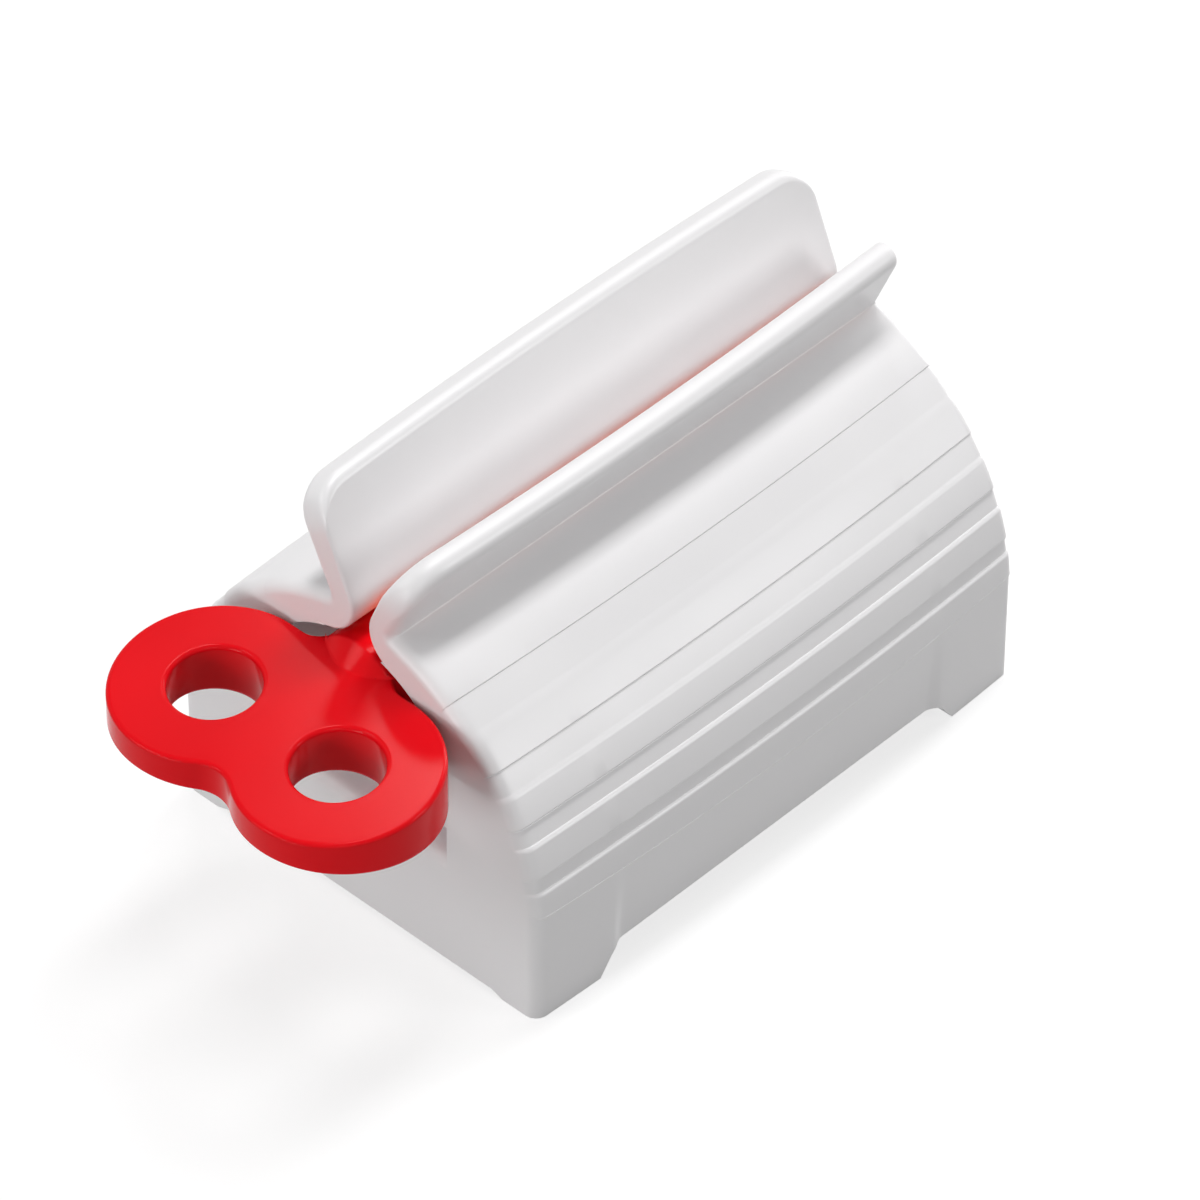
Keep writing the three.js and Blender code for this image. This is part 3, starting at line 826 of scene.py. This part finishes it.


# The factor says where the painted red light falls: near the roller's axis, above the bearings, and away
# from both ends.
def painted_throat_red():
    group = new_group("painted_throat_red", (), ("Factor",))
    nodes, links = group.nodes, group.links
    leave = nodes.new("NodeGroupOutput")
    place = nodes.new("ShaderNodeTexCoord")
    split = nodes.new("ShaderNodeSeparateXYZ")
    axis = nodes.new("ShaderNodeVectorMath")
    axis.operation = "MULTIPLY_ADD"
    axis.inputs[1].default_value = (0, 1, 1)
    axis.inputs[2].default_value = (0, -AXIS_Y * MM, -AXIS_Z * MM)
    away = nodes.new("ShaderNodeVectorMath")
    away.operation = "LENGTH"
    links.new(place.outputs["Object"], split.inputs["Vector"])
    links.new(place.outputs["Object"], axis.inputs[0])
    links.new(axis.outputs["Vector"], away.inputs[0])
    near = fade(group, away.outputs["Value"], PAINTED_RED_START, PAINTED_RED_FULL)
    near.interpolation_type = "SMOOTHSTEP"
    above = fade(group, split.outputs["Z"], PAINTED_RED_FLOOR - FLOOR_FADE, PAINTED_RED_FLOOR + FLOOR_FADE, near)
    inside = fade(group, split.outputs["X"], NEAR_X + END_FADE, NEAR_X + NEAR_FADE, above)
    short = fade(group, split.outputs["X"], FAR_X - END_FADE, FAR_X - FAR_FADE, inside)
    links.new(short.outputs["Result"], leave.inputs["Factor"])
    return group


painted_red_light = painted_throat_red()
print("glow starts", PAINTED_RED_START, "mm from the axis")

# %% [markdown]
# ## Two plastics
# The white is half matt. The red mirrors more sharply but weakly, so that it stays deep under a white
# sky. In light that bounces on from it the red is toned down, or else the end of the holder turns pink.

# %% A plastic from two near tones
GRAIN_DEPTH = 0.05 * MM


def plastic(name, tone, deep_tone, grain, roughness, bump):
    material = bpy.data.materials.new(name)
    material.use_nodes = True
    nodes, links = material.node_tree.nodes, material.node_tree.links
    shader = nodes["Principled BSDF"]
    effect = nodes.new("ShaderNodeGroup")
    effect.node_tree = polish
    effect.inputs["Scale"].default_value = grain
    effect.inputs["Roughness Low"].default_value = roughness[0]
    effect.inputs["Roughness High"].default_value = roughness[1]
    mix = nodes.new("ShaderNodeMix")
    mix.data_type = "RGBA"
    mix.inputs["A"].default_value = (*deep_tone, 1)
    mix.inputs["B"].default_value = (*tone, 1)
    relief = nodes.new("ShaderNodeBump")
    relief.inputs["Strength"].default_value = bump
    relief.inputs["Distance"].default_value = GRAIN_DEPTH
    links.new(effect.outputs["Cloud"], mix.inputs["Factor"])
    links.new(mix.outputs["Result"], shader.inputs["Base Color"])
    links.new(effect.outputs["Roughness"], shader.inputs["Roughness"])
    links.new(effect.outputs["Height"], relief.inputs["Height"])
    links.new(relief.outputs["Normal"], shader.inputs["Normal"])
    return material, shader


def retint(material, shader, factor, tint):
    """Mix a tint into a material's colour by a factor."""
    nodes, links = material.node_tree.nodes, material.node_tree.links
    mix = nodes.new("ShaderNodeMix")
    mix.data_type = "RGBA"
    links.new(factor, mix.inputs["Factor"])
    links.new(shader.inputs["Base Color"].links[0].from_socket, mix.inputs["A"])
    mix.inputs["B"].default_value = (*tint, 1)
    links.new(mix.outputs["Result"], shader.inputs["Base Color"])


# %% The white and the red
white, white_shader = plastic(
    "white_moulding",
    tone=(0.87, 0.86, 0.865),
    deep_tone=(0.84, 0.83, 0.84),
    grain=900,
    roughness=(0.36, 0.44),
    bump=0.10,
)
white_shader.inputs["Specular IOR Level"].default_value = 0.7
# Painted red light: near the roller's axis the white's colour is tinted orange and it glows faintly red,
# though it is no lamp.
glow = white.node_tree.nodes.new("ShaderNodeGroup")
glow.node_tree = painted_red_light
retint(white, white_shader, glow.outputs["Factor"], tint=(0.88, 0.5, 0.4))
painted_red_emission = white.node_tree.nodes.new("ShaderNodeMix")
painted_red_emission.data_type = "RGBA"
painted_red_emission.inputs["A"].default_value = (0, 0, 0, 1)
painted_red_emission.inputs["B"].default_value = (1, 0.2, 0.1, 1)
white.node_tree.links.new(glow.outputs["Factor"], painted_red_emission.inputs["Factor"])
white.node_tree.links.new(painted_red_emission.outputs["Result"], white_shader.inputs["Emission Color"])
white_shader.inputs["Emission Strength"].default_value = 0.3

red, red_shader = plastic(
    "red_moulding",
    tone=(0.85, 0.004, 0.010),
    deep_tone=(0.79, 0.003, 0.008),
    grain=700,
    roughness=(0.12, 0.17),
    bump=0.05,
)
red_shader.inputs["Specular IOR Level"].default_value = 0.07
onward = red.node_tree.nodes.new("ShaderNodeLightPath")
retint(red, red_shader, onward.outputs["Is Diffuse Ray"], tint=(0.5, 0.01, 0.01))
print("finishes:", white.name, red.name)

# %% Dress the pieces and let them ride
for piece, material, node, body, slot_name in (
    (holder, white, "holder", "base", "white_plastic"),
    (key, red, "winding_key", "key", "red_plastic"),
):
    piece.data.materials.clear()
    piece.data.materials.append(material)
    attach(piece, body)
    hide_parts(node)
    print(piece.name, "rides on", body)

# %% [markdown]
# ## Floor and light
# The shop photograph has a white ground. Most of its light comes from a long, narrow soft lamp just
# behind the top, so the lip shades the shoulder in front of it. A low lamp on the right gives the ridges
# their sheen, weaker lamps fill the front and the key's end, and a small one is mirrored by the handle's
# front lobe. Two lamps light the far end for other views. The floor has a plain pale paint that carries
# the soft shadow. A glow that only the camera and reflections see lifts the unshaded paint to white,
# and adds no light to the object.

# %% Floor
FLOOR_SIZE = 8
FLOOR_DROP = 0.02 * MM
FLOOR_GLOW = 0.74
bpy.ops.object.select_all(action="DESELECT")
bpy.ops.mesh.primitive_plane_add(size=FLOOR_SIZE, location=(0, 0, -FLOOR_DROP))
floor = added("floor")
floor_paint = bpy.data.materials.new("floor_paint")
floor_paint.use_nodes = True
nodes, links = floor_paint.node_tree.nodes, floor_paint.node_tree.links
ground = nodes["Principled BSDF"]
ground.inputs["Base Color"].default_value = (0.32, 0.32, 0.32, 1)
ground.inputs["Roughness"].default_value = 0.9
ground.inputs["Specular IOR Level"].default_value = 0.0
ground.inputs["Emission Color"].default_value = (1, 1, 1, 1)


def seen_directly(nodes, links, strength):
    """A strength that only the camera, gloss and glass see."""
    path = nodes.new("ShaderNodeLightPath")
    total = path.outputs["Is Camera Ray"]
    for ray in ("Is Glossy Ray", "Is Transmission Ray"):
        either = nodes.new("ShaderNodeMath")
        either.operation = "MAXIMUM"
        links.new(total, either.inputs[0])
        links.new(path.outputs[ray], either.inputs[1])
        total = either.outputs["Value"]
    glow = nodes.new("ShaderNodeMath")
    glow.operation = "MULTIPLY"
    glow.inputs[1].default_value = strength
    links.new(total, glow.inputs[0])
    return glow.outputs["Value"]


links.new(seen_directly(nodes, links, FLOOR_GLOW), ground.inputs["Emission Strength"])
floor.data.materials.append(floor_paint)
print("floor:", FLOOR_SIZE, "m wide")

# %% World
SKY_LIGHT = 0.04
world = bpy.data.worlds.new("studio")
bpy.context.scene.world = world
world.use_nodes = True
sky = world.node_tree.nodes["Background"]
sky.inputs["Color"].default_value = (1, 1, 1, 1)
links = world.node_tree.links
lift = world.node_tree.nodes.new("ShaderNodeMath")
lift.operation = "ADD"
lift.inputs[1].default_value = SKY_LIGHT
links.new(seen_directly(world.node_tree.nodes, links, 1 - SKY_LIGHT), lift.inputs[0])
links.new(lift.outputs["Value"], sky.inputs["Strength"])
print("sky light:", SKY_LIGHT)

# %% Lamps
LAMP_AIM = Vector((0.01, 0, 0.025))
LAMP_DISTANCE = 0.9


def softbox(name, around, rise, size, power, slide=0):
    """An area lamp at angles round and above the object, in degrees, slid along its own side."""
    turn, tilt = math.radians(around), math.radians(rise)
    flat = math.cos(tilt)
    out = Vector((flat * math.cos(turn), flat * math.sin(turn), math.sin(tilt)))
    bpy.ops.object.light_add(type="AREA", location=LAMP_AIM + LAMP_DISTANCE * out)
    lamp = bpy.context.active_object
    lamp.name = name
    lamp.data.shape = "RECTANGLE"
    lamp.data.size, lamp.data.size_y = size
    lamp.data.energy = power
    side = Vector((-math.sin(turn), math.cos(turn), 0))
    turned = Matrix((side, out.cross(side), out)).transposed().to_4x4()
    lamp.matrix_world = Matrix.Translation(lamp.location + slide * side) @ turned


softbox("top_softbox", around=90, rise=86, size=(0.7, 0.17), power=5.0, slide=-0.2)
softbox("front_fill", around=225, rise=26, size=(0.4, 0.3), power=0.8)
softbox("right_softbox", around=300, rise=20, size=(0.25, 0.25), power=2.0)
softbox("key_sheen", around=56, rise=52, size=(0.14, 0.14), power=0.9, slide=-0.076)
softbox("key_end_fill", around=180, rise=6, size=(0.3, 0.3), power=2.4)
softbox("rear_fill", around=150, rise=32, size=(0.3, 0.3), power=1.6)
softbox("far_end_low", around=0, rise=10, size=(0.3, 0.3), power=1.7)
softbox("far_end_high", around=0, rise=35, size=(0.3, 0.3), power=1.2)

# %% [markdown]
# ## Camera
# The photograph was taken from far away with a long lens, so its perspective is weak. The lens, the
# distance and the angles come from fitting the photograph's edges to the part's corners.

# %% Place the camera
VIEW_TURN = math.radians(46.746)
VIEW_TILT = math.radians(42.285)
VIEW_ROLL = math.radians(0.257)
VIEW_DISTANCE = 0.78035
VIEW_AIM = Vector((0.00948, -0.00096, 0.01846))
back = Vector(
    (
        -math.cos(VIEW_TILT) * math.sin(VIEW_TURN),
        -math.cos(VIEW_TILT) * math.cos(VIEW_TURN),
        math.sin(VIEW_TILT),
    )
)
level = Vector((math.cos(VIEW_TURN), -math.sin(VIEW_TURN), 0))
rise = back.cross(level)
right = math.cos(VIEW_ROLL) * level + math.sin(VIEW_ROLL) * rise
upward = math.cos(VIEW_ROLL) * rise - math.sin(VIEW_ROLL) * level
bpy.ops.object.camera_add()
camera = bpy.context.active_object
camera.matrix_world = Matrix.Translation(VIEW_AIM + VIEW_DISTANCE * back) @ Matrix(
    (right, upward, back)
).transposed().to_4x4()
camera.data.sensor_width = 36
camera.data.lens = 240
camera.data.clip_start = 0.01
bpy.context.scene.camera = camera
bpy.context.scene.view_settings.view_transform = "Standard"
print("camera at", [round(c, 3) for c in camera.matrix_world.translation])
